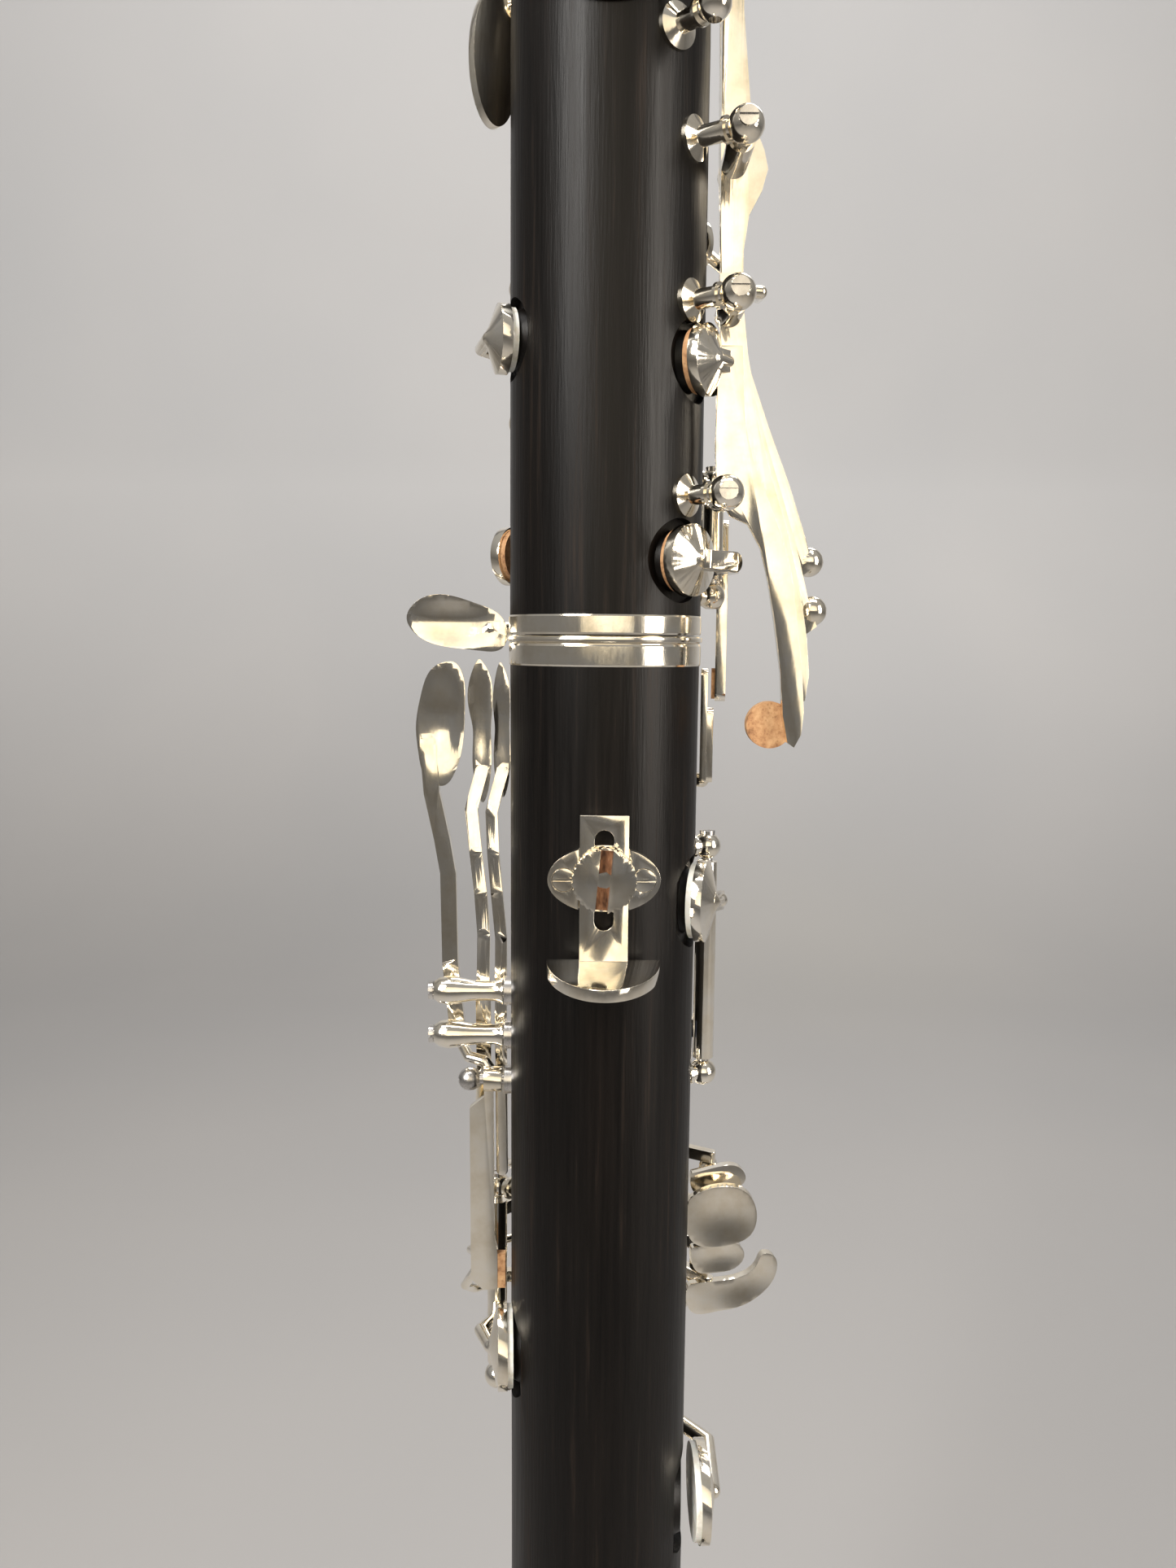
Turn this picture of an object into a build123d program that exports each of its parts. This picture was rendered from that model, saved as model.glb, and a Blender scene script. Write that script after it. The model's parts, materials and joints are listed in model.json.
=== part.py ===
"""B-flat soprano clarinet, Boehm system: every piece as its own solid, millimetres, +Z up.

The origin is on the bore's axis in the plane of the bell's rim.  The thumb side faces -Y, the
finger holes face +Y and the player's right hand side is +X.  Heights named h are measured from
the joint line between the upper and the lower joint.
"""
import math
import os

from build123d import *

JOINT = 343.0           # height of the joint line above the bell's rim
BORE_R = 7.35
SOCKET_R = 12.0
TENON_R = 11.2
CORK_R = 11.9
UPPER_TOP = 188.0
BARREL_TOP = 254.0
TIP = 327.0
LOWER_END = -236.0
ROD_R = 0.9             # steel hinge rods
ROD_HOLE_R = 0.95
TUBE_R = 1.7            # hinge tubes of the keys
BALL_R = 2.2            # post heads
STUB = 1.6              # depth of a post's stub in the wood
ARM_T = 1.6
ARM_W = 2.4
SEAT_DROP = 0.3         # how far a tone hole's rim lies under the body's surface
PAD_GAP = 0.12
SLOT_WIDTH = 0.5        # screwdriver slots
CHIMNEY_R = 5.2
CHIMNEY_TOP = 15.7
RING_IN = 5.6
RING_OUT = 7.2

# hinge lines of the keys that turn about an upright rod: x, y
LH_RING_LINE = (12.9, 15.2)
CSHARP_LINE = (17.0, 9.0)
LH_SLIVER_LINE = (-13.2, 11.2)
THUMB_LINE = (13.3, -17.1)
GSHARP_LINE = (-16.45, 9.5)
RH_RING_LINE = (12.9, 15.2)
RH_SLIVER_LINE = (17.0, 7.5)
F_LINE = (-5.1, 18.9)
E_LINE = (-12.1, 15.4)
AFLAT_LINE = (-17.3, 9.2)
FSHARP_LINE = (12.9, 15.2)
SIDE_POST_Y = -13.1
REGISTER_H = 122.0      # cross rod of the register key
REGISTER_Y = -19.0
REGISTER_HOLE_H = 148.0
REGISTER_SEAT = 16.4    # how far the register tube's rim stands from the bore's axis
REST_H = -34.1          # middle of the thumb rest's plate
REST_SCREW_H = -33.8
REST_SCREW_R = 4.6
LIGATURE_SCREWS = (269.0, 281.0)
LIGATURE_SCREW_Y = -15.6
THROAT_A_H = 120.0
THROAT_A_Y = 18.3
STUD_H = (-55.3, -62.4, -69.8)
# posts of the side keys: x, height, and how far their screws reach forward
SIDE_POSTS = ((16.6, 20.5, -5.05), (17.6, 47.3, -0.25), (18.2, 68.9, 5.6))

# opening of the keys that stand open, degrees
RING_OPEN = 5.0
THUMB_OPEN = 6.0
F_OPEN = 9.0
E_OPEN = 8.0
FSHARP_OPEN = 6.0

# tone holes under pads: azimuth, height, hole radius, cup radius
CUPS = {
    "side_1": (-29.0, 39.5, 3.0, 5.0),
    "side_2": (35.0, 60.0, 2.6, 4.2),
    "side_3": (-20.0, 128.0, 2.6, 4.5),
    "side_4": (38.0, 148.0, 2.6, 4.5),
    "lh_sliver": (195.0, 43.0, 3.0, 4.9),
    "csharp": (-42.0, 11.3, 3.0, 5.1),
    "lh_vent": (154.0, 13.0, 2.6, 4.6),
    "throat_a": (90.0, 140.0, 2.8, 4.6),
    "throat_g": (125.0, 132.0, 2.7, 4.4),
    "thumb_vent": (-60.0, 106.0, 1.6, 3.2),
    "rh_vent": (90.0, -13.0, 2.6, 4.4),
    "rh_sliver": (-15.0, -39.6, 3.8, 6.3),
    "a_flat": (185.0, -114.5, 4.2, 6.8),
    "f_sharp": (-4.0, -140.5, 4.8, 7.8),
    "f_key": (68.0, -162.0, 5.2, 8.2),
    "e_key": (62.0, -188.0, 5.4, 8.4),
}
FRONT_HOLES = ((84.0, 3.6), (55.0, 3.6), (30.0, 4.0), (-28.0, 4.0), (-52.0, 4.2), (-76.0, 4.2))
THUMB_HOLE_H = 93.0


def body_radius(h):
    """Outer radius of the wood at height h."""
    if h >= 84.0:
        return 14.35 - (h - 84.0) * 0.9 / 104.0
    if h >= 0.0:
        return 14.45 - h * 0.1 / 84.0
    return 14.4 + h * 0.2 / 150.0


def seat_radius(name):
    return body_radius(CUPS[name][1]) - SEAT_DROP


def polar(r, az, h):
    a = math.radians(az)
    return Vector(r * math.cos(a), r * math.sin(a), JOINT + h)


def at(x, y, h):
    return Vector(x, y, JOINT + h)


def radial(az, h, start=0.0):
    """Plane whose z runs outward at azimuth az, starting at radius start."""
    a = math.radians(az)
    out = Vector(math.cos(a), math.sin(a), 0)
    return Plane(origin=polar(start, az, h), x_dir=(0, 0, 1), z_dir=out).location


LOW = (Align.CENTER, Align.CENTER, Align.MIN)


def disc(r, t):
    return Cylinder(r, t, align=LOW)


def rod(p, q, r):
    p = Vector(*p)
    q = Vector(*q)
    return Plane(origin=p, z_dir=q - p).location * disc(r, (q - p).length)


def ball(p, r):
    return Pos(p.X, p.Y, p.Z) * Sphere(r)


def capsule(points, r):
    """Round bent rod through the points."""
    shape = ball(points[0], r)
    for p, q in zip(points, points[1:]):
        shape += rod(p, q, r)
        shape += ball(q, r)
    return shape


def bar(p, q, width, thick, normal):
    """Flat bar with round ends from p to q; normal is across its thickness."""
    along = (q - p).normalized()
    n = Vector(*normal)
    n = (n - along * n.dot(along)).normalized()
    place = Plane(origin=(p + q) * 0.5, x_dir=along, z_dir=n).location
    return place * extrude(SlotCenterToCenter((q - p).length, width), thick / 2, both=True)


def wrap(points, h, width=ARM_W, thick=ARM_T):
    """Arm that follows the body round at one height."""
    shape = None
    for p, q in zip(points, points[1:]):
        d = math.hypot(q[0] - p[0], q[1] - p[1])
        turn = math.degrees(math.atan2(q[1] - p[1], q[0] - p[0]))
        middle = Location(((p[0] + q[0]) / 2, (p[1] + q[1]) / 2, 0), (0, 0, turn))
        slot = middle * SlotCenterToCenter(d, thick)
        piece = Pos(0, 0, JOINT + h - width / 2) * extrude(slot, width, dir=(0, 0, 1))
        shape = piece if shape is None else shape + piece
    return shape


def side_plate(outline, y0, y1):
    """Flat plate in the XZ plane from a closed outline of x and h."""
    points = [(x, JOINT + h) for x, h in outline]
    face = make_face(Plane.XZ * Polyline(*points, close=True))
    return Pos(0, y0, 0) * extrude(face, y1 - y0, dir=(0, 1, 0))


def smooth_plate(outline, y0, y1):
    """Plate in the XZ plane with a rounded outline."""
    points = [(x, JOINT + h) for x, h in outline]
    face = make_face(Plane.XZ * Spline(*points, periodic=True))
    return Pos(0, y0, 0) * extrude(face, y1 - y0, dir=(0, 1, 0))


def hinge_tube(line, h0, h1):
    return rod(at(line[0], line[1], h0), at(line[0], line[1], h1), TUBE_R)


def bore_line(line, h0, h1):
    return rod(at(line[0], line[1], h0), at(line[0], line[1], h1), ROD_HOLE_R)


def cup(name):
    """Pad cup in its closed place, with the recess that holds the pad."""
    az, h, _, r = CUPS[name]
    place = radial(az, h, seat_radius(name) + PAD_GAP)
    shape = Pos(0, 0, 0.9) * disc(r, 1.5)
    shape += Pos(0, 0, 2.4) * Cone(r, 1.5, 1.3, align=LOW)
    shape += Pos(0, 0, 3.7) * Cone(1.5, 0.5, 0.6, align=LOW)
    shape -= disc(r - 0.45, 2.1)
    return place * shape


def pad(name):
    az, h, _, r = CUPS[name]
    return radial(az, h, seat_radius(name) + PAD_GAP) * disc(r - 0.48, 2.05)


def cup_top(name, extra=3.6):
    az, h = CUPS[name][0], CUPS[name][1]
    return polar(seat_radius(name) + PAD_GAP + extra, az, h)


def spider(name, target, thick=1.5):
    """Pointed arm from a cup's centre to its lever."""
    return capsule([cup_top(name, 3.5), target], thick / 2 + 0.15) + bar(
        cup_top(name, 3.2), target, 3.0, 1.1, (math.cos(math.radians(CUPS[name][0])),
                                               math.sin(math.radians(CUPS[name][0])), 0))


def recess(name):
    """Space of the pad, cut out again after the arms are joined on."""
    az, h, _, r = CUPS[name]
    return radial(az, h, seat_radius(name) + PAD_GAP) * disc(r - 0.45, 2.1)


def swing(shape, line, degrees):
    return shape.rotate(Axis((line[0], line[1], 0), (0, 0, 1)), degrees)


def ring(h, sign=1.0, x=0.0):
    """Finger ring lying round its chimney, key closed."""
    flat = disc(RING_OUT, 1.2) - disc(RING_IN, 1.2)
    place = Plane(origin=at(x, sign * 14.9, h), x_dir=(1, 0, 0), z_dir=(0, sign, 0)).location
    return place * flat


def post(x, y, h, along=(0, 0, 1), hole=ROD_HOLE_R - 0.02, head=BALL_R):
    """Turned post: stub in the wood, flared base, neck, round head drilled for its rod."""
    r = math.hypot(x, y)
    az = math.degrees(math.atan2(y, x))
    base = body_radius(h)
    shape = radial(az, h, base - STUB) * disc(1.4, r - base + STUB - head * 0.5)
    shape += radial(az, h, base - 0.5) * disc(3.0, 0.9)
    shape += radial(az, h, base + 0.4) * Cone(3.0, 1.4, 0.8, align=LOW)
    shape += radial(az, h, r - head - 0.7) * disc(1.8, 0.5)
    centre = at(x, y, h)
    shape += ball(centre, head)
    step = Vector(*along) * 4.0
    return shape - rod(centre - step, centre + step, hole)


def side_post(x, h, reach):
    """Post with a shoulder screw that carries a side key: returns post and screw."""
    y = SIDE_POST_Y
    body = post(x, y, h, (0, 1, 0), ROD_HOLE_R - 0.02, 2.5)
    screw = rod(at(x, y - 2.7, h), at(x, reach, h), ROD_R)
    screw += rod(at(x, y - 3.1, h), at(x, y - 2.6, h), 1.3)
    screw -= Pos(x, y - 3.1, JOINT + h) * Box(3.0, 0.7, SLOT_WIDTH)
    screw += rod(at(x, reach, h), at(x, reach + 0.45, h), 1.5)
    return body, screw


# ---------------------------------------------------------------- wood and rings

def turned(profile):
    """Solid of revolution about the bore's axis from r, z points."""
    face = make_face(Plane.XZ * Polyline(*profile, close=True))
    return revolve(face, Axis.Z, 360)


def cut_tone_holes(body, names):
    for name in names:
        az, h, hole, r = CUPS[name]
        seat = seat_radius(name)
        body -= radial(az, h, seat - 1.1) * disc(r + 0.9, 8.0)
        body += radial(az, h, seat - 2.2) * Cone(hole + 2.0, hole + 0.8, 2.2, align=LOW)
    for name in names:
        az, h, hole, _ = CUPS[name]
        body -= radial(az, h, 0) * disc(hole, 20.0)
    return body


def finger_hole(body, h, hole, az=90.0):
    body += radial(az, h, 10.5) * disc(CHIMNEY_R, CHIMNEY_TOP - 10.5)
    body -= radial(az, h, 0) * disc(hole, 20.0)
    body -= radial(az, h, CHIMNEY_TOP - 0.6) * Cone(hole, hole + 0.7, 0.7, align=LOW)
    return body


def upper_joint_body():
    z = JOINT
    profile = [
        (BORE_R, z - 21), (TENON_R, z - 21), (TENON_R, z + 0.65), (13.6, z + 0.65), (13.6, z + 3.6),
        (14.45, z + 3.6), (14.35, z + 84), (13.45, z + UPPER_TOP), (TENON_R - 0.4, z + UPPER_TOP),
        (TENON_R - 0.4, z + UPPER_TOP + 16), (BORE_R, z + UPPER_TOP + 16),
    ]
    body = turned(profile)
    names = ["side_1", "side_2", "side_3", "side_4", "lh_sliver", "csharp", "lh_vent", "throat_a",
             "throat_g", "thumb_vent"]
    body = cut_tone_holes(body, names)
    for h, hole in FRONT_HOLES[:3]:
        body = finger_hole(body, h, hole)
    boss = radial(-90, THUMB_HOLE_H, 10.0) * disc(9.4, 4.7)
    body += boss - rod(at(0, 0, THUMB_HOLE_H - 12), at(0, 0, THUMB_HOLE_H + 12), 9.0)
    body = finger_hole(body, THUMB_HOLE_H, 3.8, -90.0)
    body -= radial(-90, REGISTER_HOLE_H, 0) * disc(2.6, 20.0)
    return body - rod(at(0, 0, -30), at(0, 0, 230), BORE_R)


def lower_joint_body():
    z = JOINT
    profile = [
        (BORE_R, z - 22.5), (SOCKET_R, z - 22.5), (SOCKET_R, z - 0.6), (13.6, z - 0.6), (13.6, z - 3.9),
        (14.4, z - 3.9), (14.2, z - 150), (14.1, z - 206), (14.6, z - 222), (15.6, z + LOWER_END),
        (TENON_R + 0.3, z + LOWER_END), (TENON_R + 0.3, z + LOWER_END - 20), (10.4, z + LOWER_END - 20),
        (8.2, z - 196), (BORE_R, z - 150),
    ]
    body = turned(profile)
    body = cut_tone_holes(body, ["rh_vent", "rh_sliver", "a_flat", "f_sharp", "f_key", "e_key"])
    for h, hole in FRONT_HOLES[3:]:
        body = finger_hole(body, h, hole)
    body -= rod(at(0, 0, -190), at(0, 0, -22.5), BORE_R)
    return body - rod(at(0, 0, -22.5), at(0, 0, 0), SOCKET_R)


def barrel_body():
    z = JOINT
    low = z + UPPER_TOP
    top = z + BARREL_TOP
    profile = [(BORE_R, low + 17), (11.7, low + 17), (11.7, low), (14.6, low), (14.6, low + 4.5),
               (15.9, low + 4.5), (16.6, low + 14), (16.9, low + 26), (16.9, low + 40), (16.5, low + 52),
               (15.9, top - 4.5), (14.6, top - 4.5), (14.6, top), (11.7, top), (11.7, top - 17),
               (BORE_R, top - 17), ]
    return turned(profile)


def bell_body():
    profile_out = [(16.2, 101.5), (15.4, 92), (15.5, 78), (17.2, 58), (20.6, 38), (26.2, 19), (32.0, 8.5),
                   (37.6, 3.6)]
    profile_in = [(30.6, 0.8), (24.5, 9), (18.2, 28), (14.2, 50), (12.2, 70), (11.0, 86.0)]
    edge = [(38.2, 3.4), (38.2, 0.8)]
    outer = Plane.XZ * Spline(*profile_out)
    inner = Plane.XZ * Spline(*profile_in)
    corner = [profile_out[-1]] + edge + [profile_in[0]]
    top = [profile_in[-1], (SOCKET_R + 0.4, 86.0), (SOCKET_R + 0.4, 107.0), (15.0, 107.0), (15.0, 101.5),
           profile_out[0]]
    face = make_face(Curve() + [outer, inner, Plane.XZ * Polyline(*corner), Plane.XZ * Polyline(*top)])
    return revolve(face, Axis.Z, 360)


def band(r_in, r_out, z0, z1):
    """Metal ring with a slightly crowned outside."""
    mid = (z0 + z1) / 2
    return turned([(r_in, z0), (r_out - 0.25, z0), (r_out, z0 + 0.3), (r_out + 0.12, mid),
                   (r_out, z1 - 0.3), (r_out - 0.25, z1), (r_in, z1)])


def body_rings():
    z = JOINT
    bead = turned([(SOCKET_R, z - 0.55), (14.45, z - 0.55), (14.75, z - 0.3), (14.8, z), (14.75, z + 0.3),
                   (14.45, z + 0.55), (SOCKET_R, z + 0.55)])
    return {"upper_joint_ring": turned([(13.6, z + 0.7), (14.5, z + 0.7), (14.6, z + 1.0),
                                        (14.6, z + 3.3), (14.5, z + 3.55), (13.6, z + 3.55)]),
            "lower_joint_ring": bead + turned([(13.6, z - 3.85), (14.5, z - 3.85), (14.6, z - 3.6),
                                               (14.6, z - 0.95), (14.4, z - 0.55), (13.6, z - 0.55)]),
            "barrel_rings": group([band(14.62, 16.4, z + UPPER_TOP + 0.02, z + UPPER_TOP + 4.45),
                                   band(14.62, 16.4, z + BARREL_TOP - 4.45, z + BARREL_TOP - 0.02)]),
            "bell_socket_ring": band(15.02, 16.9, 101.55, 106.9), "bell_rim_ring": turned([(30.6, 0.0),
                                                                                           (38.6, 0.0),
                                                                                           (39.0, 0.4),
                                                                                           (39.0, 3.2),
                                                                                           (38.7, 3.5),
                                                                                           (38.25, 3.5),
                                                                                           (38.25, 0.75),
                                                                                           (30.6, 0.75)]),
            }


def tenon_corks():
    z = JOINT

    def sleeve(r0, r1, z0, z1):
        return turned([(r0, z0), (r1, z0), (r1, z1), (r0, z1)])

    return group([
        sleeve(TENON_R + 0.01, CORK_R, z - 18, z - 4),
        sleeve(TENON_R - 0.39, 11.6, z + UPPER_TOP + 3, z + UPPER_TOP + 13),
        sleeve(TENON_R + 0.31, SOCKET_R + 0.3, z + LOWER_END - 17, z + LOWER_END - 4),
    ])


def mouthpiece_cork():
    z = JOINT + BARREL_TOP
    return turned([(10.81, z - 13), (11.6, z - 13), (11.6, z - 3), (10.81, z - 3)])


def mouthpiece():
    z = JOINT
    low = z + BARREL_TOP
    body = turned([(BORE_R, low - 15), (10.8, low - 15), (10.8, low), (13.7, low), (13.8, low + 2),
                   (12.9, low + 24), (11.8, low + 48), (11.2, z + TIP), (BORE_R, z + TIP)])
    body -= Pos(0, -9.4 - 10, low + 6 + 40) * Box(40, 20, 80)
    beak = [(11.9, z + TIP - 34), (-7.9, z + TIP), (-7.9, z + TIP + 9), (20, z + TIP + 9),
            (20, z + TIP - 34)]
    face = make_face(Plane.YZ * Polyline(*beak, close=True))
    plug = rod(at(0, 0, TIP - 40), at(0, 0, TIP), BORE_R + 0.01)
    body += plug
    body -= Pos(-20, 0, 0) * extrude(face, 40, dir=(1, 0, 0))
    window = Pos(0, -7.0, z + TIP - 20) * Box(11.0, 9.0, 34.0)
    inner = Pos(0, 0, z + TIP - 40) * Box(9.0, 11.0, 20.0)
    return body - window - inner


def reed():
    z = JOINT
    profile = [(-9.45, z + 261), (-12.3, z + 261), (-12.5, z + 290), (-11.4, z + 300),
               (-9.75, z + TIP - 0.8), (-9.45, z + TIP - 0.8)]
    face = make_face(Plane.YZ * Polyline(*profile, close=True))
    blank = Pos(-6.4, 0, 0) * extrude(face, 12.8, dir=(1, 0, 0))
    return blank & rod(at(0, -1.2, 258), at(0, -1.2, 330), 11.9)


def ligature():
    z = JOINT
    strap = turned([(13.35, z + 264), (14.1, z + 264), (14.1, z + 286), (13.35, z + 286)])
    for h in LIGATURE_SCREWS:
        for x in (-4.2, 4.2):
            strap += Pos(x, -15.2, z + h) * Box(3.0, 4.2, 5.0)
    strap -= Pos(0, -14, z + sum(LIGATURE_SCREWS) / 2) * Box(3.0, 6.0, 30.0)
    for h in LIGATURE_SCREWS:
        strap -= rod(at(-9, LIGATURE_SCREW_Y, h), at(9, LIGATURE_SCREW_Y, h), 1.05)
    return strap


def ligature_screw(h):
    shape = rod(at(-6.4, LIGATURE_SCREW_Y, h), at(8.0, LIGATURE_SCREW_Y, h), 1.0)
    shape += rod(at(6.2, LIGATURE_SCREW_Y, h), at(11.5, LIGATURE_SCREW_Y, h), 2.6)
    for i in range(10):
        a = math.radians(36 * i)
        y = LIGATURE_SCREW_Y + 2.65 * math.cos(a)
        hz = h + 2.65 * math.sin(a)
        shape -= rod(at(6.6, y, hz), at(12.0, y, hz), 0.45)
    return shape


def group(shapes):
    return Compound(children=[s for shape in shapes for s in shape.solids()])


# ---------------------------------------------------------------- upper joint keys

def arm_to_ring(h, line, sign=1.0, x=0.0):
    edge = x + (RING_IN + 1.2) * (1 if line[0] > x else -1)
    return wrap([(edge, sign * 15.5), line], h, 3.4, 1.5)


def lh_ring_key():
    line = LH_RING_LINE
    key = hinge_tube(line, 14.6, 64.0)
    for h in (55.0, 30.0):
        key += ring(h) + arm_to_ring(h, line)
    key += cup("lh_vent")
    key += wrap([line, (9.0, 17.6), (0.0, 19.2), (-6.5, 17.8)], 16.0)
    key += capsule([at(-4.6, 18.3, 15.9), cup_top("lh_vent", 3.6)], 1.05)
    key += capsule([at(line[0], line[1], 19.0), at(18.6, 14.0, 17.5)], 1.2)
    key += bar(at(19.3, 13.4, 18.0), at(19.3, 13.0, -8.6), 2.6, 1.7, (1, 0, 0))
    key -= bore_line(line, 10, 70)
    key -= recess("lh_vent")
    key -= rod(at(0, 0, 25), at(0, 0, 60), 14.7)
    return swing(key, line, -RING_OPEN)


def lh_ring_pads():
    return swing(pad("lh_vent"), LH_RING_LINE, -RING_OPEN)


def bridge_cork():
    strip = bar(at(18.15, 13.0, -5.6), at(18.15, 13.0, -8.4), 2.2, 0.55, (1, 0, 0))
    return swing(strip, LH_RING_LINE, -RING_OPEN)


def thumb_ring_key():
    line = THUMB_LINE
    key = hinge_tube(line, 84.6, 111.2)
    key += ring(THUMB_HOLE_H, -1.0, 0.0)
    key += wrap([(RING_IN + 1.2, -15.6), (10.0, -16.6), line], THUMB_HOLE_H, 3.4, 1.5)
    key += cup("thumb_vent")
    key += capsule([cup_top("thumb_vent"), at(line[0], line[1], 106.0)], 0.95)
    key -= bore_line(line, 80, 115)
    return swing(key, line, THUMB_OPEN)


def thumb_ring_pad():
    return swing(pad("thumb_vent"), THUMB_LINE, THUMB_OPEN)


def rocker(line_y, h):
    """Short cross tube of a back or front rocker key."""
    return rod(at(-3.5, line_y, h), at(3.5, line_y, h), TUBE_R + 0.2)


def register_key():
    y, h = REGISTER_Y, REGISTER_H
    key = rocker(y, h)
    top = polar(REGISTER_SEAT + 3.6, -90, REGISTER_HOLE_H)
    place = radial(-90, REGISTER_HOLE_H, REGISTER_SEAT + PAD_GAP)
    shell = Pos(0, 0, 0.9) * disc(4.2, 1.3) + Pos(0, 0, 2.2) * Cone(4.2, 1.3, 1.4, align=LOW)
    key += place * (shell - disc(3.75, 1.9))
    key += bar(top, at(0, y - 0.6, h), 2.6, 1.6, (0, 1, 0))
    key += bar(at(0, y, h), at(0, -18.4, 110.0), 3.2, 1.6, (0, 1, 0))
    touch = [(0, 102.5), (3.6, 105), (4.0, 109), (2.2, 113.5), (-2.2, 113.5), (-4.0, 109), (-3.6, 105)]
    key += smooth_plate(touch, -19.3, -17.8)
    return key - rod(at(-9, y, h), at(9, y, h), ROD_HOLE_R)


def register_pad():
    return radial(-90, REGISTER_HOLE_H, REGISTER_SEAT + PAD_GAP) * disc(3.7, 1.85)


def register_tube():
    start = 7.6
    tube = radial(-90, REGISTER_HOLE_H, start) * disc(2.55, REGISTER_SEAT - start)
    return tube - radial(-90, REGISTER_HOLE_H, 0) * disc(1.5, 20)


def throat_a_key():
    y, h = THROAT_A_Y, THROAT_A_H
    key = rocker(y, h)
    key += cup("throat_a")
    key += bar(cup_top("throat_a", 3.6), at(0, y + 0.5, h), 2.6, 1.6, (0, 1, 0))
    key += bar(at(0, y, h), at(0, 17.6, 106.0), 3.0, 1.6, (0, 1, 0))
    touch = [(0, 96.5), (3.2, 98.5), (3.8, 103), (2.2, 108), (-2.2, 108), (-3.8, 103), (-3.2, 98.5)]
    key += smooth_plate(touch, 17.0, 18.4)
    return key - rod(at(-9, y, h), at(9, y, h), ROD_HOLE_R)


def throat_g_key():
    line = GSHARP_LINE
    key = hinge_tube(line, 97.0, 136.0)
    key += cup("throat_g")
    key += capsule([cup_top("throat_g"), at(line[0], line[1], 132.0)], 0.95)
    place = Plane(origin=at(-17.2, 4.9, 85.0), x_dir=(0, 0, 1),
                  z_dir=(math.cos(math.radians(128)), math.sin(math.radians(128)), 0)).location
    key += place * extrude(Ellipse(9.5, 3.9), 0.75, both=True)
    key += capsule([at(line[0], line[1], 99.0), at(-18.4, 7.2, 97.6), at(-18.0, 5.2, 90.0)], 1.05)
    return key - bore_line(line, 90, 140)


def lh_sliver_key():
    line = LH_SLIVER_LINE
    key = hinge_tube(line, 36.5, 51.5)
    key += cup("lh_sliver")
    key += capsule([cup_top("lh_sliver"), at(-18.9, 2.0, 43.0), at(line[0], line[1], 43.0)], 0.95)
    key += wrap([line, (-9.6, 14.6), (-3.0, 17.6), (2.6, 17.8)], 43.0, 3.2, 1.5)
    key += wrap([(-3.0, 17.7), (2.6, 17.8)], 43.0, 6.0, 1.5)
    return key - bore_line(line, 30, 60)


def csharp_key():
    line = CSHARP_LINE
    key = hinge_tube(line, 9.6, 22.0)
    key += cup("csharp")
    key += wrap([(14.2, -12.8), (18.4, -7.0), (19.4, 0.0), (18.4, 6.0), line], 11.3)
    key += spider("csharp", at(18.4, -7.0, 11.3))
    key += capsule([at(line[0], line[1], 12.0), at(14.9, 12.9, 9.2), at(13.0, 15.2, 4.6),
                    at(8.0, 18.4, 2.4), at(2.0, 19.6, 1.8), at(-6.0, 18.8, 1.6), at(-13.5, 13.6, 1.6),
                    at(-18.0, 8.6, 1.6)], 1.15)
    key += smooth_plate([(-15.4, 1.2), (-16.5, 3.6), (-20.5, 5.6), (-25.5, 6.9), (-29.5, 6.0),
                         (-31.4, 3.2), (-29.4, 0.2), (-25.3, -1.3), (-20.0, -1.9), (-16.4, -1.6)], 7.6,
                        9.0)
    return key - bore_line(line, 0, 30)


S1_OUTLINE = [(19.2, 41.7), (19.5, 35.0), (19.8, 30.5), (21.1, 25.8), (23.1, 20.9), (25.2, 15.7),
              (26.9, 10.4), (28.0, 3.0), (29.0, -4.7), (29.4, -10.5), (29.1, -13.8), (28.1, -15.7),
              (27.1, -15.0), (26.3, -10.9), (25.9, -4.7), (24.8, 2.6), (23.7, 8.7), (22.5, 13.4),
              (20.6, 16.8), (18.0, 18.0), (15.9, 21.6), (15.6, 27.7), (15.7, 37.0), (15.9, 41.7)]
S2_OUTLINE = [(19.6, 53.0), (19.8, 48.0), (20.7, 40.0), (22.2, 32.0), (24.5, 24.0), (27.0, 16.5),
              (28.9, 9.0), (30.3, 1.0), (30.9, -5.0), (30.4, -9.0), (28.8, -9.4), (28.2, -4.0),
              (27.0, 3.0), (25.6, 9.0), (24.1, 14.0), (21.8, 20.0), (19.5, 25.5), (18.2, 31.0),
              (17.2, 37.0), (16.5, 44.0), (16.2, 53.0)]
S3_OUTLINE = [(18.8, 130.0), (19.2, 90.0), (20.6, 75.5), (22.6, 71.0), (23.2, 68.4), (22.4, 65.4),
              (20.6, 62.0), (19.9, 57.0), (20.0, 46.0), (21.5, 38.0), (24.0, 29.5), (26.8, 21.0),
              (29.4, 12.5), (31.2, 5.2), (32.4, 2.2), (30.4, 0.8), (28.5, 5.4), (26.2, 12.6),
              (23.5, 21.0), (21.0, 29.0), (18.6, 37.0), (17.1, 45.0), (16.5, 60.0), (16.3, 72.0),
              (16.1, 90.0), (16.1, 130.0)]
S4_OUTLINE = [(18.6, 150.0), (19.0, 90.0), (20.8, 73.0), (20.8, 65.5), (19.9, 58.0), (20.1, 48.0),
              (21.8, 40.0), (24.7, 32.0), (27.8, 24.2), (30.3, 17.0), (32.2, 11.2), (30.4, 10.0),
              (28.3, 16.0), (25.6, 23.8), (22.8, 31.5), (19.4, 39.0), (17.3, 47.0), (16.7, 60.0),
              (16.4, 72.0), (16.1, 90.0), (16.1, 150.0)]


def side_hub(post_number, y0, y1):
    x, h, _ = SIDE_POSTS[post_number]
    return rod(at(x, y0, h), at(x, y1, h), 1.95)


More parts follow.
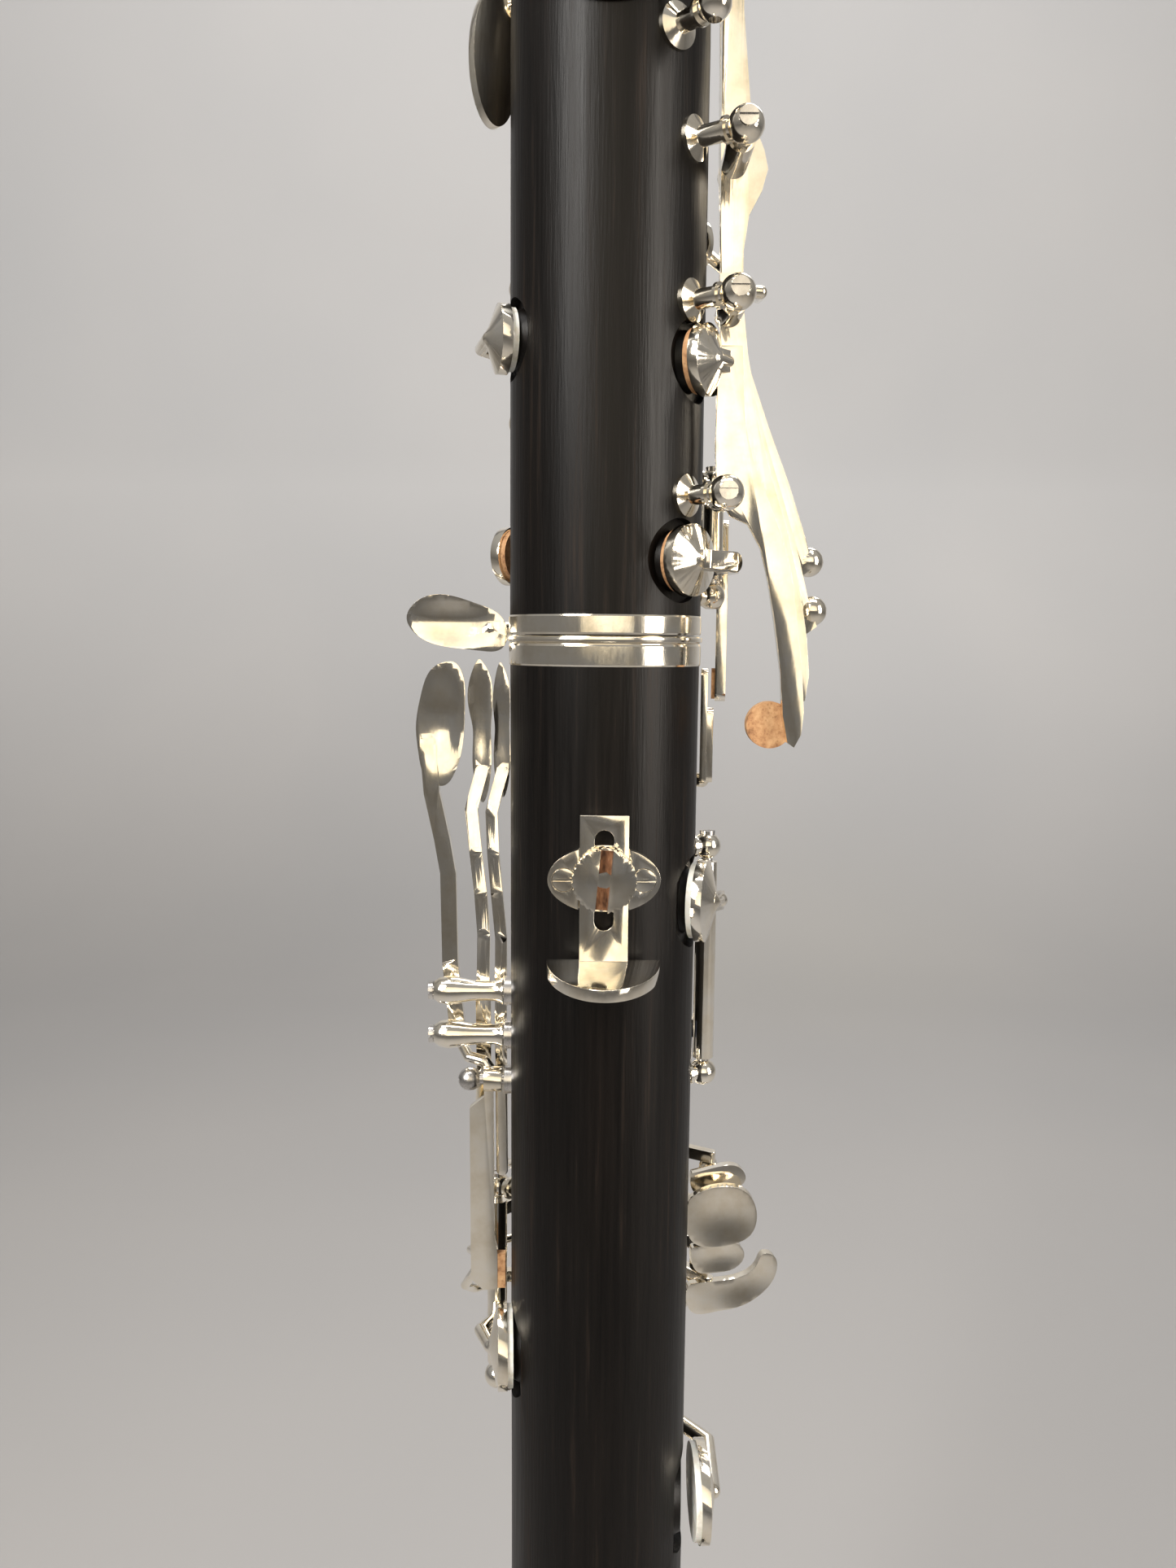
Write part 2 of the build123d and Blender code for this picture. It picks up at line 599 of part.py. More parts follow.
def side_hole(post_number):
    x, h, _ = SIDE_POSTS[post_number]
    return rod(at(x, -16, h), at(x, 14, h), ROD_HOLE_R)


def side_key_1():
    key = side_plate(S1_OUTLINE, -7.0, -5.2) + side_hub(0, -8.8, -5.2)
    key += cup("side_1") + spider("side_1", at(17.6, -6.1, 39.5))
    return key - side_hole(0)


def side_key_2():
    key = side_plate(S2_OUTLINE, -2.2, -0.4) + side_hub(1, -8.8, -0.4)
    key += cup("side_2")
    key += capsule([at(18.6, -1.3, 50.8), at(22.3, -1.2, 50.6), at(22.8, 6.0, 52.0), cup_top("side_2")],
                   0.95)
    return key - side_hole(1) - recess("side_2")


def side_key_3():
    key = side_plate(S3_OUTLINE, 0.6, 2.4) + side_hub(2, -8.8, 2.4)
    key += cup("side_3") + capsule([cup_top("side_3"), at(17.5, 1.2, 128.0)], 1.0)
    key += ball(at(31.8, 2.2, 4.6), 2.3)
    return key - side_hole(2) - recess("side_3")


def side_key_4():
    key = side_plate(S4_OUTLINE, 3.2, 5.0) + side_hub(2, 2.7, 5.4)
    key += cup("side_4") + capsule([cup_top("side_4"), at(17.0, 4.4, 148.0)], 1.0)
    key += ball(at(31.6, 5.1, 12.2), 2.3)
    return key - side_hole(2) - recess("side_4")


def side_touch_cork():
    """Round cork glued behind the touch of the lowest side key."""
    return rod(at(24.7, -5.2, -12.5), at(24.7, -2.9, -12.5), 3.5)


# ---------------------------------------------------------------- lower joint keys

def rh_ring_key():
    line = RH_RING_LINE
    key = hinge_tube(line, -82.0, -20.0)
    for h in (-28.0, -52.0, -76.0):
        key += ring(h) + arm_to_ring(h, line)
    key += cup("rh_vent")
    key += capsule([at(line[0], line[1], -21.4), at(5.0, 18.6, -18.0), cup_top("rh_vent")], 1.0)
    key += capsule([at(line[0], line[1], -23.0), at(16.6, 13.4, -23.0)], 1.2)
    key += bar(at(16.75, 12.7, -22.5), at(16.75, 12.4, -5.8), 2.6, 1.1, (1, 0, 0))
    key += bar(at(17.5, 12.7, -22.0), at(17.5, 12.6, -12.2), 2.6, 1.6, (1, 0, 0))
    key -= bore_line(line, -90, -10)
    key -= rod(at(0, 0, -80), at(0, 0, -25), 14.7)
    return swing(key, line, -RING_OPEN)


def rh_ring_pad():
    return swing(pad("rh_vent"), RH_RING_LINE, -RING_OPEN)


def rh_sliver_key():
    line = RH_SLIVER_LINE
    key = hinge_tube(line, -68.5, -35.6)
    key += cup("rh_sliver") + spider("rh_sliver", at(18.8, 3.0, -41.0))
    key += capsule([at(18.8, 3.0, -41.0), at(line[0], line[1], -42.5)], 1.2)
    key += wrap([line, (12.7, 11.9), (8.4, 15.2), (4.4, 17.7), (1.0, 17.9)], -64.0, 3.0, 1.5)
    return key - bore_line(line, -75, -30)


def a_flat_key():
    line = AFLAT_LINE
    key = hinge_tube(line, -124.0, -94.6)
    key += cup("a_flat")
    key += capsule([cup_top("a_flat"), at(-19.6, 3.6, -115.0), at(line[0], line[1], -116.0)], 1.1)
    path = [line, (-13.2, 13.2), (-7.0, 17.0), (0.0, 18.2), (8.0, 17.0), (14.6, 13.6), (18.8, 9.4)]
    key += wrap(path, -96.5, 2.2, 1.6)
    key += smooth_plate([(15.6, -93.8), (20.5, -91.8), (24.8, -92.6), (26.8, -96.2), (25.8, -100.4),
                         (21.2, -102.4), (16.2, -101.8)], 8.4, 9.9)
    return key - bore_line(line, -130, -85)


def f_key():
    line = F_LINE
    key = hinge_tube(line, -168.0, -103.8)
    key += cup("f_key") + spider("f_key", at(line[0], line[1] + 0.6, -161.0))
    key += wrap([line, (3.0, 19.4), (10.0, 17.2), (15.4, 13.6), (18.6, 9.2)], -105.6, 2.2, 1.6)
    key += smooth_plate([(15.2, -104.3), (19.5, -103.9), (23.4, -104.6), (24.2, -106.6), (22.4, -108.8),
                         (18.8, -109.3), (15.4, -108.4)], 8.2, 9.7)
    key += wrap([line, (-9.0, 19.4), (-14.0, 18.9)], -105.0, 2.0, 1.4)
    key -= bore_line(line, -180, -90)
    key -= recess("f_key")
    return swing(key, line, F_OPEN)


def e_key():
    line = E_LINE
    key = hinge_tube(line, -196.0, -110.2)
    key += cup("e_key")
    key += wrap([line, (-6.0, 18.6), (2.0, 19.2), (8.3, 16.9)], -188.0, 2.6, 1.7)
    key += capsule([cup_top("e_key"), at(6.8, 17.8, -188.0)], 1.2)
    path = [line, (-9.8, 20.6), (-5.4, 23.6), (2.0, 23.2), (9.0, 20.4), (15.2, 14.6), (18.8, 9.0)]
    key += wrap(path, -111.8, 2.2, 1.6)
    key += smooth_plate([(15.6, -111.4), (20.0, -111.2), (24.6, -110.9), (27.2, -108.8), (28.4, -106.6),
                         (30.1, -107.0), (30.8, -110.0), (28.6, -113.8), (24.5, -116.1), (19.5, -116.8),
                         (15.6, -116.4)], 8.0, 9.5)
    key += wrap([line, (-15.6, 16.4), (-19.6, 15.6)], -112.0, 2.0, 1.4)
    key -= bore_line(line, -205, -100)
    return swing(key, line, E_OPEN)


def f_sharp_key():
    line = FSHARP_LINE
    key = hinge_tube(line, -146.0, -118.0)
    key += cup("f_sharp")
    key += capsule([at(line[0], line[1], -138.0), at(19.0, 10.2, -140.0), cup_top("f_sharp")], 1.3)
    key += capsule([at(line[0], line[1], -119.6), at(17.6, 19.6, -117.0)], 1.1)
    key += bar(at(18.2, 19.6, -117.5), at(19.6, 17.2, -92.0), 2.8, 1.6, (0.4, 1, 0))
    key += capsule([at(19.4, 17.2, -92.4), at(20.4, 12.4, -92.4)], 1.1)
    key += smooth_plate([(15.8, -90.8), (20.5, -89.8), (24.2, -90.4), (25.0, -92.2), (22.6, -94.2),
                         (18.6, -94.6), (15.8, -94.0)], 11.2, 12.7)
    key += wrap([(19.8, 15.6), (13.4, 20.0), (5.0, 20.4), (-3.6, 19.0)], -89.9, 2.0, 1.5)
    key += wrap([(1.4, 19.8), (-3.6, 19.0)], -89.0, 3.4, 1.5)
    key -= bore_line(line, -155, -112)
    return swing(key, line, FSHARP_OPEN)


def low_key_pads():
    return {
        "f_key_pad": swing(pad("f_key"), F_LINE, F_OPEN),
        "e_key_pad": swing(pad("e_key"), E_LINE, E_OPEN),
        "f_sharp_key_pad": swing(pad("f_sharp"), FSHARP_LINE, FSHARP_OPEN),
    }


def pear_sleeve(h):
    """Turned sleeve that rocks on a stud standing out to the left."""
    profile = [(0, -15.6), (2.1, -15.6), (1.65, -16.6), (1.55, -18.4), (1.7, -20.5), (2.1, -22.6),
               (2.3, -24.2), (2.05, -25.6), (1.5, -26.4), (0, -26.4)]
    face = make_face(Plane.XZ * Polyline(*[(r, x) for r, x in profile], close=True))
    turned_piece = revolve(face, Axis.Z, 360)
    place = Plane(origin=at(0, 0, h), x_dir=(0, 1, 0), z_dir=(1, 0, 0)).location
    return place * turned_piece


def stud(h):
    screw = rod(at(-12.8, 0, h), at(-26.9, 0, h), ROD_R)
    head = rod(at(-26.6, 0, h), at(-27.3, 0, h),
               1.45) - Pos(-27.3, 0, JOINT + h) * Box(0.6, 4.0, SLOT_WIDTH)
    base = rod(at(-13.2, 0, h), at(-15.3, 0, h), 2.3)
    return screw + head + base


def stud_hole(h):
    return rod(at(-14, 0, h), at(-28, 0, h), ROD_HOLE_R)


def path_bar(points, width, thick):
    """Flat bar that runs through several points, each x, y and h."""
    shape = None
    for p, q in zip(points, points[1:]):
        piece = bar(at(*p), at(*q), width, thick, (0, 1, 0))
        shape = piece if shape is None else shape + piece
    return shape


def lh_f_lever():
    key = pear_sleeve(STUD_H[0])
    key += smooth_plate([(-19.4, -3.4), (-18.1, -5.6), (-17.9, -14.0), (-18.0, -22.0), (-19.2, -26.0),
                         (-20.6, -22.0), (-20.8, -14.0), (-20.8, -5.0)], 5.6, 7.0)
    key += path_bar([(-19.4, 6.2, -21.0), (-21.0, 5.5, -27.0), (-20.2, 4.5, -34.0), (-19.4, 3.9, -40.4),
                     (-18.9, 3.5, -47.0), (-19.0, 3.2, -55.3)], 2.0, 1.4)
    key += rod(at(-19.0, 0.5, -55.3), at(-19.0, 3.6, -55.3), 1.0)
    key += bar(at(-19.0, 3.4, -55.3), at(-19.0, 4.3, -66.0), 2.4, 1.3, (0, 1, 0))
    key += bar(at(-19.0, 4.3, -66.0), at(-19.6, 4.3, -102.5), 2.4, 1.3, (0, 1, 0))
    key += capsule([at(-19.6, 4.4, -102.0), at(-21.8, 9.6, -104.0), at(-19.2, 13.8, -105.0),
                    at(-14.4, 15.7, -104.8)], 0.75)
    return key - stud_hole(STUD_H[0])


def lh_f_sharp_lever():
    key = pear_sleeve(STUD_H[1])
    key += smooth_plate([(-16.2, -3.9), (-15.2, -6.4), (-15.0, -14.0), (-15.0, -22.0), (-16.0, -25.2),
                         (-17.2, -22.0), (-17.3, -14.0), (-17.2, -6.0)], 6.0, 7.4)
    key += path_bar([(-16.1, 6.6, -21.0), (-17.8, 5.8, -27.5), (-17.5, 5.2, -34.0), (-16.9, 4.8, -40.4),
                     (-16.2, 4.5, -47.7), (-16.2, 3.9, -62.4)], 1.9, 1.4)
    key += rod(at(-16.5, 0.5, -62.4), at(-16.5, 3.9, -62.4), 0.95)
    key += bar(at(-16.2, 3.9, -62.4), at(-16.0, 3.9, -86.6), 1.9, 1.3, (0, 1, 0))
    key += capsule([at(-16.0, 4.0, -86.4), at(-14.6, 9.2, -88.0), at(-10.4, 13.0, -89.4),
                    at(-4.6, 15.5, -89.6)], 0.75)
    return key - stud_hole(STUD_H[1])


def lh_e_lever():
    h = STUD_H[2]
    key = rod(at(-15.8, 0, h), at(-18.6, 0, h), 2.0)
    key += smooth_plate([(-24.4, -3.6), (-27.4, -5.0), (-29.0, -9.0), (-29.8, -14.0), (-29.4, -18.4),
                         (-28.0, -22.4), (-25.6, -23.4), (-23.4, -20.6), (-22.2, -15.0), (-22.0, -9.5),
                         (-22.6, -5.0)], 5.6, 7.0)
    key += path_bar([(-28.0, 6.3, -16.5), (-27.4, 6.2, -24.5), (-25.8, 6.0, -31.8), (-24.8, 5.8, -37.5),
                     (-24.5, 5.2, -52.0), (-23.2, 4.6, -64.0)], 2.5, 1.5)
    key += capsule([at(-23.2, 4.8, -63.6), at(-22.9, 4.4, -65.0), at(-21.2, 1.9, -66.9),
                    at(-18.6, 1.2, -67.4), at(-17.4, 0.8, -69.0)], 0.9)
    key += side_plate([(-18.6, -68.0), (-17.2, -68.0), (-17.0, -96.0), (-16.5, -99.0), (-16.5, -105.2),
                       (-18.8, -105.4), (-20.8, -103.5), (-20.9, -74.5), (-18.6, -72.6)], -0.6, 0.9)
    key += capsule([at(-19.8, 0.2, -101.8), at(-22.4, 5.4, -108.0), at(-21.4, 10.6, -111.6),
                    at(-19.3, 12.7, -112.0)], 0.75)
    return key - rod(at(-14, 0, h), at(-25, 0, h), ROD_HOLE_R)


def lh_e_lever_cork():
    return Pos(-15.85, 0.15, JOINT - 102.1) * Box(1.3, 1.4, 5.8)


# ---------------------------------------------------------------- thumb rest

def rest_plate():
    plate = Pos(0, -13.9, JOINT + REST_H) * Rot(90, 0, 0) * extrude(Ellipse(8.1, 4.85), 1.9)
    plate -= Pos(0, 0, JOINT - 60) * disc(14.15, 50)
    plate -= Pos(0, -15.4, JOINT + REST_H) * Box(7.3, 1.4, 12.0)
    plate -= rod(at(0, -10, REST_SCREW_H), at(0, -20, REST_SCREW_H), 1.25)
    for x in (-5.75, 5.75):
        plate -= rod(at(x, -10, REST_H), at(x, -20, REST_H), 1.0)
        plate -= rod(at(x, -15.2, REST_H), at(x, -20, REST_H), 1.75)
    return plate


def rest_plate_screws():
    shapes = []
    for x in (-5.75, 5.75):
        screw = rod(at(x, -11.4, REST_H), at(x, -15.4, REST_H), 0.95)
        screw += rod(at(x, -15.25, REST_H), at(x, -15.95, REST_H), 1.65)
        screw -= Pos(x, -15.95, JOINT + REST_H) * Box(4.0, 0.7, 0.45)
        shapes.append(screw)
    return group(shapes)


def rest_hook():
    tongue = Pos(0, -15.3, JOINT - 35.9) * Box(7.0, 1.1, 22.2)
    tongue -= Pos(0, -15.3, JOINT - 34.2) * Rot(90, 0, 0) * extrude(SlotCenterToCenter(11.8, 2.8).rotate(
        Axis.Z, 90), 2.0, both=True)
    shelf_h = -47.7
    shelf = Pos(0, -14.85, JOINT + shelf_h) * extrude(Ellipse(8.2, 15.2), 1.7)
    shelf &= Pos(0, -22.8, JOINT + shelf_h + 0.7) * Box(18, 15.9, 6)
    return tongue + shelf


def rest_thumb_screw():
    shape = rod(at(0, -14.6, REST_SCREW_H), at(0, -16.4, REST_SCREW_H), 1.2)
    shape += rod(at(0, -16.2, REST_SCREW_H), at(0, -18.4, REST_SCREW_H), REST_SCREW_R)
    notches = 28
    for i in range(notches):
        a = 2 * math.pi * i / notches
        x = (REST_SCREW_R + 0.1) * math.cos(a)
        dz = (REST_SCREW_R + 0.1) * math.sin(a)
        shape -= rod(at(x, -15.0, REST_SCREW_H + dz), at(x, -19.0, REST_SCREW_H + dz), 0.28)
    slot = Pos(0, -18.4, JOINT + REST_SCREW_H) * Rot(0, 5, 0) * Box(1.8, 2.4, 12.0)
    return shape - slot


# ---------------------------------------------------------------- posts and rods

UPPER_POSTS = [
    (*LH_RING_LINE, 12.0), (*LH_RING_LINE, 66.6), (*CSHARP_LINE, 7.0), (*CSHARP_LINE, 24.6),
    (*LH_SLIVER_LINE, 33.8), (*LH_SLIVER_LINE, 54.2), (*THUMB_LINE, 82.0), (*THUMB_LINE, 113.8),
    (*GSHARP_LINE, 94.4), (*GSHARP_LINE, 138.6),
]
LOWER_POSTS = [
    (*RH_RING_LINE, -17.4), (*RH_RING_LINE, -84.6), (*RH_SLIVER_LINE, -33.0), (*RH_SLIVER_LINE, -71.1),
    (*F_LINE, -101.2), (*F_LINE, -170.6), (*E_LINE, -107.6), (*E_LINE, -198.6), (*AFLAT_LINE, -92.0),
    (*AFLAT_LINE, -126.6), (*FSHARP_LINE, -115.4), (*FSHARP_LINE, -148.6),
]
CROSS_POSTS = [(-6.0, REGISTER_Y, REGISTER_H), (6.0, REGISTER_Y, REGISTER_H),
               (-6.0, THROAT_A_Y, THROAT_A_H), (6.0, THROAT_A_Y, THROAT_A_H)]


def slotted_end(x, y, h, up):
    """Small screw head where a rod comes out of its post."""
    end = h + up * (BALL_R + 0.25)
    head = rod(at(x, y, h + up * (BALL_R - 0.4)), at(x, y, end), 1.25)
    return head - Pos(x, y, JOINT + end) * Box(3.0, 0.4, 0.6)


def rods_between(posts):
    shapes = []
    for low, high in zip(posts[::2], posts[1::2]):
        x, y = low[0], low[1]
        h0, h1 = sorted((low[2], high[2]))
        piece = rod(at(x, y, h0 - 1.0), at(x, y, h1 + 2.0), ROD_R)
        shapes.append(piece + slotted_end(x, y, h1, 1))
    return shapes


def upper_posts():
    shapes = [post(*p) for p in UPPER_POSTS]
    shapes += [post(*p, along=(1, 0, 0)) for p in CROSS_POSTS]
    return shapes + [side_post(*p)[0] for p in SIDE_POSTS]


def upper_rods():
    shapes = rods_between(UPPER_POSTS)
    for y, h in ((REGISTER_Y, REGISTER_H), (THROAT_A_Y, THROAT_A_H)):
        shapes.append(rod(at(-7.8, y, h), at(7.8, y, h), ROD_R))
    shapes += [side_post(*p)[1] for p in SIDE_POSTS]
    return group(shapes)


def lower_posts():
    return [post(*p) for p in LOWER_POSTS]


def lower_rods():
    shapes = rods_between(LOWER_POSTS)
    shapes += [stud(STUD_H[0]), stud(STUD_H[1])]
    h = STUD_H[2]
    end_stud = rod(at(-12.8, 0, h), at(-21.0, 0, h), ROD_R) + rod(at(-13.2, 0, h), at(-15.3, 0, h), 2.3)
    end_stud += ball(at(-20.9, 0, h), 1.85)
    shapes.append(end_stud - Pos(-22.9, 0, JOINT + h) * Box(0.9, 4.0, SLOT_WIDTH))
    return group(shapes)


def needle_springs(posts):
    """Blued wires that stand in the posts beside the hinge tubes."""
    shapes = []
    for low, high in zip(posts[::2], posts[1::2]):
        x, y = low[0], low[1]
        scale = 1.0 - (TUBE_R + 0.75) / math.hypot(x, y)
        h0 = min(low[2], high[2])
        start = at(x * scale, y * scale, h0)
        shapes.append(rod(start, start + Vector(0, 0, 8.5), 0.28))
    return group(shapes)


def make_parts():
    parts = {"mouthpiece": mouthpiece(), "reed": reed(), "ligature": ligature(),
             "ligature_screw_upper": ligature_screw(LIGATURE_SCREWS[1]),
             "ligature_screw_lower": ligature_screw(LIGATURE_SCREWS[0]), "barrel": barrel_body(),
             "upper_joint": upper_joint_body(), "lower_joint": lower_joint_body(), "bell": bell_body(),
             "tenon_corks": tenon_corks(), "mouthpiece_cork": mouthpiece_cork(),
             "register_tube": register_tube(), "key_posts": group(upper_posts() + lower_posts()),
             "hinge_rods_upper": upper_rods(), "hinge_rods_lower": lower_rods(),
             "needle_springs": needle_springs(UPPER_POSTS + LOWER_POSTS), "register_key": register_key(),
             "register_key_pad": register_pad(), "throat_a_key": throat_a_key(),
             "throat_a_key_pad": pad("throat_a"), "throat_g_key": throat_g_key(),
             "throat_g_key_pad": pad("throat_g"), "thumb_ring_key": thumb_ring_key(),
             "thumb_ring_key_pad": thumb_ring_pad(), "left_ring_key": lh_ring_key(),
             "left_ring_key_corks": group([lh_ring_pads(), bridge_cork()]), "side_key_1": side_key_1(),
             "side_key_2": side_key_2(), "side_key_3": side_key_3(), "side_key_4": side_key_4(),
             "side_key_1_corks": group([pad("side_1"), side_touch_cork()]),
             "side_key_2_pad": pad("side_2"), "side_key_3_pad": pad("side_3"),
             "side_key_4_pad": pad("side_4"), "left_sliver_key": lh_sliver_key(),
             "left_sliver_key_pad": pad("lh_sliver"), "c_sharp_key": csharp_key(),
             "c_sharp_key_pad": pad("csharp"), "right_ring_key": rh_ring_key(),
             "right_ring_key_pad": rh_ring_pad(), "right_sliver_key": rh_sliver_key(),
             "right_sliver_key_pad": pad("rh_sliver"), "a_flat_key": a_flat_key(),
             "a_flat_key_pad": pad("a_flat"), "f_key": f_key(), "e_key": e_key(),
             "f_sharp_key": f_sharp_key(), "left_f_lever": lh_f_lever(),
             "left_f_sharp_lever": lh_f_sharp_lever(), "left_e_lever": lh_e_lever(),
             "left_e_lever_cork": lh_e_lever_cork(), }
    rings = body_rings()
    parts["joint_rings"] = group([rings["upper_joint_ring"], rings["lower_joint_ring"]])
    parts["barrel_rings"] = rings["barrel_rings"]
    parts["bell_rings"] = group([rings["bell_socket_ring"], rings["bell_rim_ring"]])
    parts.update(low_key_pads())
    parts["thumb_rest_plate"] = group([rest_plate()] + list(rest_plate_screws().children))
    parts["thumb_rest_hook"] = rest_hook()
    parts["thumb_rest_screw"] = rest_thumb_screw()
    return parts


def main():
    os.makedirs("parts", exist_ok=True)
    for name, shape in make_parts().items():
        export_step(shape, "parts/" + name + ".step")


main()
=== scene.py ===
import json
import math

import bmesh
import bpy
from mathutils import Matrix, Vector


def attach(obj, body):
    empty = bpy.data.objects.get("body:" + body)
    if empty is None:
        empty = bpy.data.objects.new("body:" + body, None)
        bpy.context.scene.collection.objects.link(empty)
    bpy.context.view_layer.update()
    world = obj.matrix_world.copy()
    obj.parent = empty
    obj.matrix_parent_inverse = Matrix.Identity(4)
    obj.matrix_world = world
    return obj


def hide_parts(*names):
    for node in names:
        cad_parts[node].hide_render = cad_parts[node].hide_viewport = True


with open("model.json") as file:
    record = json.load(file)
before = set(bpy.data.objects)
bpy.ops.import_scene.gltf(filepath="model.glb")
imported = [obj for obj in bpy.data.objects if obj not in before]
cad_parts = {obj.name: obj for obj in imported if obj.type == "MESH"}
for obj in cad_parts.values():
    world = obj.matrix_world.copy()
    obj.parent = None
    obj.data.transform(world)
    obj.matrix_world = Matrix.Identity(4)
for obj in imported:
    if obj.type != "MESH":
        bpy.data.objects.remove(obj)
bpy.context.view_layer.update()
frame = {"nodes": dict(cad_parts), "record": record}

MM = 0.001
JOINT = 0.343           # the joint line's height, and the camera's, in metres
CAMERA_BACK = 0.181
CAMERA_PITCH = 7.0
CAMERA_LEFT = 0.0024
CAMERA_ROLL = 0.45
FOCAL = 27.03
SENSOR = 36.0
SCREW_H = -33.8         # the thumb rest screw's height above the joint line, in millimetres
SLOT_LEAN = 5.0
SLOT_FLOOR_Y = -17.3    # middle of the painted shade on the slot's floor
SLOT_FILL = (1.7, 0.4, 8.6)
SLICE = 1.0             # spacing of the cuts that let a flat face bend, in millimetres
REACH = 3.0             # how far before and behind its centre a worked face can lie, in millimetres
WELD = 0.00001          # in metres: points nearer than this are one point
EDGE_ANGLE = 38.0       # edges sharper than this are rounded
SWEEP_START = 0.9       # where the floor starts to curve up, in metres behind the object
SWEEP_RADIUS = 0.6
SWEEP_STEPS = 12
SWEEP_HALF_WIDTH = 3.0
SWEEP_FRONT = -2.5
WALL_TOP = 3.0
SWEEP_DROP = 0.0005     # the floor lies this far under the bell's rim


# ------------------------------------------------------------------ node helpers

def new_material(name):
    mat = bpy.data.materials.new(name)
    mat.use_nodes = True
    return mat, mat.node_tree.nodes, mat.node_tree.links


def principled(nodes):
    return nodes["Principled BSDF"]


def object_coords(nodes, links, scale):
    coords = nodes.new("ShaderNodeTexCoord")
    mapping = nodes.new("ShaderNodeMapping")
    mapping.inputs["Scale"].default_value = scale
    links.new(coords.outputs["Object"], mapping.inputs["Vector"])
    return mapping.outputs["Vector"]


def noise(nodes, links, vector, scale, detail=4.0, rough=0.6):
    tex = nodes.new("ShaderNodeTexNoise")
    tex.inputs["Scale"].default_value = scale
    tex.inputs["Detail"].default_value = detail
    tex.inputs["Roughness"].default_value = rough
    links.new(vector, tex.inputs["Vector"])
    return tex.outputs["Fac"]


def ramp(nodes, links, fac, stops):
    node = nodes.new("ShaderNodeValToRGB")
    elements = node.color_ramp.elements
    while len(elements) < len(stops):
        elements.new(0.5)
    for element, (position, colour) in zip(elements, stops):
        element.position = position
        element.color = (*colour, 1.0)
    links.new(fac, node.inputs["Fac"])
    return node.outputs["Color"]


def spread(nodes, links, fac, low, high, start=0.3, end=0.7):
    node = nodes.new("ShaderNodeMapRange")
    node.inputs["From Min"].default_value = start
    node.inputs["From Max"].default_value = end
    node.inputs["To Min"].default_value = low
    node.inputs["To Max"].default_value = high
    links.new(fac, node.inputs["Value"])
    return node.outputs["Result"]


def bump(nodes, links, height, strength, distance, shader):
    node = nodes.new("ShaderNodeBump")
    node.inputs["Strength"].default_value = strength
    node.inputs["Distance"].default_value = distance
    links.new(height, node.inputs["Height"])
    links.new(node.outputs["Normal"], shader.inputs["Normal"])


def mix_value(nodes, links, a, b, share):
    node = nodes.new("ShaderNodeMix")
    node.inputs[0].default_value = share
    links.new(a, node.inputs[2])
    links.new(b, node.inputs[3])
    return node.outputs[0]


def mix_colour(nodes, links, fac, a, b, blend="MIX"):
    node = nodes.new("ShaderNodeMix")
    node.data_type = "RGBA"
    node.blend_type = blend
    if isinstance(fac, float):
        node.inputs[0].default_value = fac
    else:
        links.new(fac, node.inputs[0])
    links.new(a, node.inputs[6])
    links.new(b, node.inputs[7])
    return node.outputs[2]


# ------------------------------------------------------------------ materials

def grenadilla():
    """Oiled near-black wood: fine streaks along the bore and short pale pores."""
    mat, nodes, links = new_material("grenadilla_wood")
    shader = principled(nodes)
    streak = noise(nodes, links, object_coords(nodes, links, (1.0, 1.0, 0.03)), 900.0, 6.0, 0.65)
    broad = noise(nodes, links, object_coords(nodes, links, (1.0, 1.0, 0.12)), 130.0, 3.0)
    dark = ramp(nodes, links, streak, [(0.30, (0.0018, 0.0015, 0.0013)), (0.58, (0.004, 0.0031, 0.0025)),
                                       (0.78, (0.020, 0.014, 0.010))])
    tint = ramp(nodes, links, broad, [(0.35, (0.75, 0.72, 0.70)), (0.70, (1.35, 1.15, 1.05))])
    links.new(mix_colour(nodes, links, 0.8, dark, tint, "MULTIPLY"), shader.inputs["Base Color"])
    pores = noise(nodes, links, object_coords(nodes, links, (1.0, 1.0, 0.05)), 2600.0, 2.0)
    links.new(spread(nodes, links, streak, 0.34, 0.50), shader.inputs["Roughness"])
    bump(nodes, links, spread(nodes, links, pores, 0.0, 1.0, 0.35, 0.6), 0.16, 0.00008, shader)
    shader.inputs["Specular IOR Level"].default_value = 0.18
    shader.inputs["Coat Weight"].default_value = 0.03
    shader.inputs["Coat Roughness"].default_value = 0.22
    return mat


def silver(name, low, high, bright=(0.93, 0.87, 0.75), dull=(0.80, 0.72, 0.58)):
    """Silver plate: worn polish, faint tarnish in patches, fine wiping marks."""
    mat, nodes, links = new_material(name)
    shader = principled(nodes)
    shader.inputs["Metallic"].default_value = 1.0
    patches = noise(nodes, links, object_coords(nodes, links, (1.0, 1.0, 1.0)), 160.0, 5.0, 0.6)
    fine = noise(nodes, links, object_coords(nodes, links, (1.0, 1.0, 0.2)), 2200.0, 3.0)
    links.new(ramp(nodes, links, patches, [(0.32, dull), (0.52, bright), (0.75, (0.96, 0.93, 0.87))]),
              shader.inputs["Base Color"])
    broad_rough = ramp(nodes, links, patches, [(0.3, (high,) * 3), (0.6, (low,) * 3)])
    fine_rough = ramp(nodes, links, fine, [(0.3, (low,) * 3), (0.8, (high * 1.3,) * 3)])
    rough = mix_colour(nodes, links, 0.35, broad_rough, fine_rough)
    links.new(rough, shader.inputs["Roughness"])
    dents = noise(nodes, links, object_coords(nodes, links, (1.0, 1.0, 0.6)), 75.0, 1.0)
    bump(nodes, links, mix_value(nodes, links, dents, fine, 0.03), 0.35, 0.0007, shader)
    return mat


def steel():
    return silver("rod_steel", 0.20, 0.34, (0.62, 0.60, 0.58), (0.40, 0.38, 0.36))


